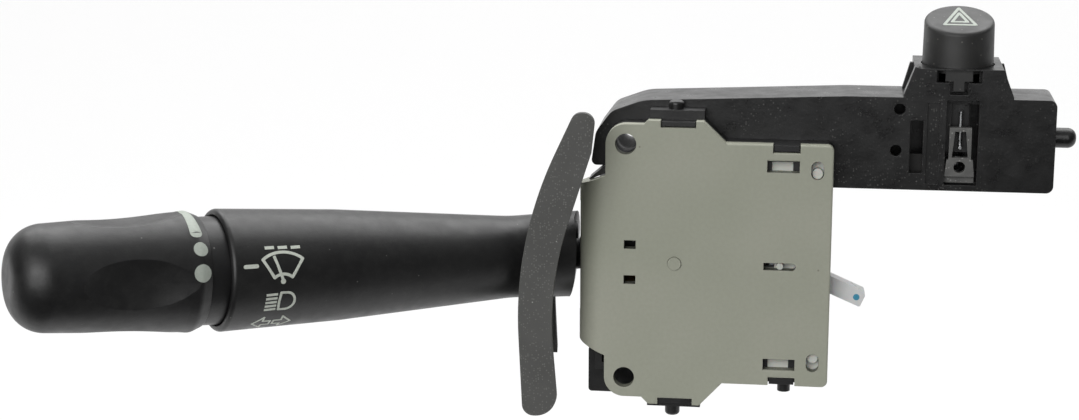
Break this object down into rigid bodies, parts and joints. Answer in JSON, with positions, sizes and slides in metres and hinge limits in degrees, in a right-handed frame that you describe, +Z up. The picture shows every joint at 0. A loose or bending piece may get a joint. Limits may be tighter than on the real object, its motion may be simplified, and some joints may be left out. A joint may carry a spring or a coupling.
{
  "type": "combination stalk switch",
  "caption": "Steering column stalk switch: a curved lever with a rotary knob on a mounting plate, and a side arm with a round hazard push button.",
  "frame": {"origin": "midpoint of the two column screw holes, on the front face of the base plate", "axes": "+X towards the free end of the hazard arm, -Y towards the driver, +Z up"},
  "size_m": [0.2782, 0.1296, 0.1158],
  "materials": {
    "plate": "satin grey-beige moulding",
    "black_moulding": "black satin moulding",
    "arm": "glossy black moulding",
    "button": "black satin, slightly worn",
    "stalk": "black satin",
    "shield": "dark grey, finely speckled",
    "white_moulding": "natural white, satin",
    "pawl": "white, smooth",
    "board": "brown laminate",
    "brass": "stamped strip",
    "steel": "plain steel",
    "leads": "bundle sleeve"
  },
  "bodies": {
    "housing": {"base_plate": "plate", "switch_housing": "black_moulding", "rear_cover": "black_moulding", "cover_screws": "steel", "contact_board": "board", "terminal_pins": "brass", "fixed_contacts": "brass", "contact_frame": "white_moulding", "detent_cam": "white_moulding", "arm_shell": "arm", "arm_cover": "arm", "arm_screws": "steel", "locating_pin": "arm", "latch_finger": "arm", "latch_wire": "steel", "hazard_contacts": "brass", "arm_strips": "brass", "hazard_spring": "steel"},
    "turn": {"turn_carrier": "plate", "beam_pin": "steel", "turn_contacts": "brass", "detent_spring": "steel"},
    "detent": {"detent_plunger": "white_moulding"},
    "lever": {"lever_root": "black_moulding", "stalk_tube": "stalk", "stalk_shield": "shield", "switch_holder": "white_moulding", "stalk_leads": "leads", "washer_spring": "steel"},
    "washer": {"washer_rod": "white_moulding"},
    "wiper": {"knob_shell": "stalk", "knob_neck": "black_moulding", "wiper_rotor": "white_moulding"},
    "hazard": {"hazard_cap": "button", "hazard_plunger": "black_moulding"},
    "cancel": {"cancel_slider": "white_moulding"},
    "pawl": {"cancel_pawl": "pawl"}
  },
  "joints": [
    {"name": "turn_signal", "type": "hinge", "parent": "housing", "child": "turn", "pos_m": [0.0139, 0.014, 0], "axis": [0, 1, 0], "range_deg": [-7, 7]},
    {"name": "detent_slide", "type": "slide", "parent": "turn", "child": "detent", "axis": [1, 0, 0], "range_m": [0, 0.0009], "stiffness_N_per_m": 600, "deforming": ["detent_spring"]},
    {"name": "beam_flash", "type": "hinge", "parent": "turn", "child": "lever", "pos_m": [0.0139, 0.014, 0], "axis": [0, 0, 1], "range_deg": [0, 7], "stiffness_Nm_per_rad": 4},
    {"name": "washer_push", "type": "slide", "parent": "lever", "child": "washer", "axis": [0.827, 0.5578, -0.0698], "range_m": [0, 0.003], "stiffness_N_per_m": 1200, "deforming": ["washer_spring"]},
    {"name": "wiper_turn", "type": "hinge", "parent": "washer", "child": "wiper", "pos_m": [-0.0153, 0.014, -0.00155], "axis": [0.827, 0.5578, -0.0698], "range_deg": [0, 120]},
    {"name": "hazard_push", "type": "slide", "parent": "housing", "child": "hazard", "axis": [0, 0, -1], "range_m": [0, 0.005], "stiffness_N_per_m": 500, "springref_m": -0.002, "deforming": ["hazard_spring"]},
    {"name": "cancel_slide", "type": "slide", "parent": "housing", "child": "cancel", "axis": [1, 0, 0], "range_m": [0, 0.0033]},
    {"name": "cancel_swing", "type": "hinge", "parent": "cancel", "child": "pawl", "pos_m": [0.0432, 0.009, 0], "axis": [0, 1, 0], "range_deg": [-12, 12], "stiffness_Nm_per_rad": 0.05}
  ]
}
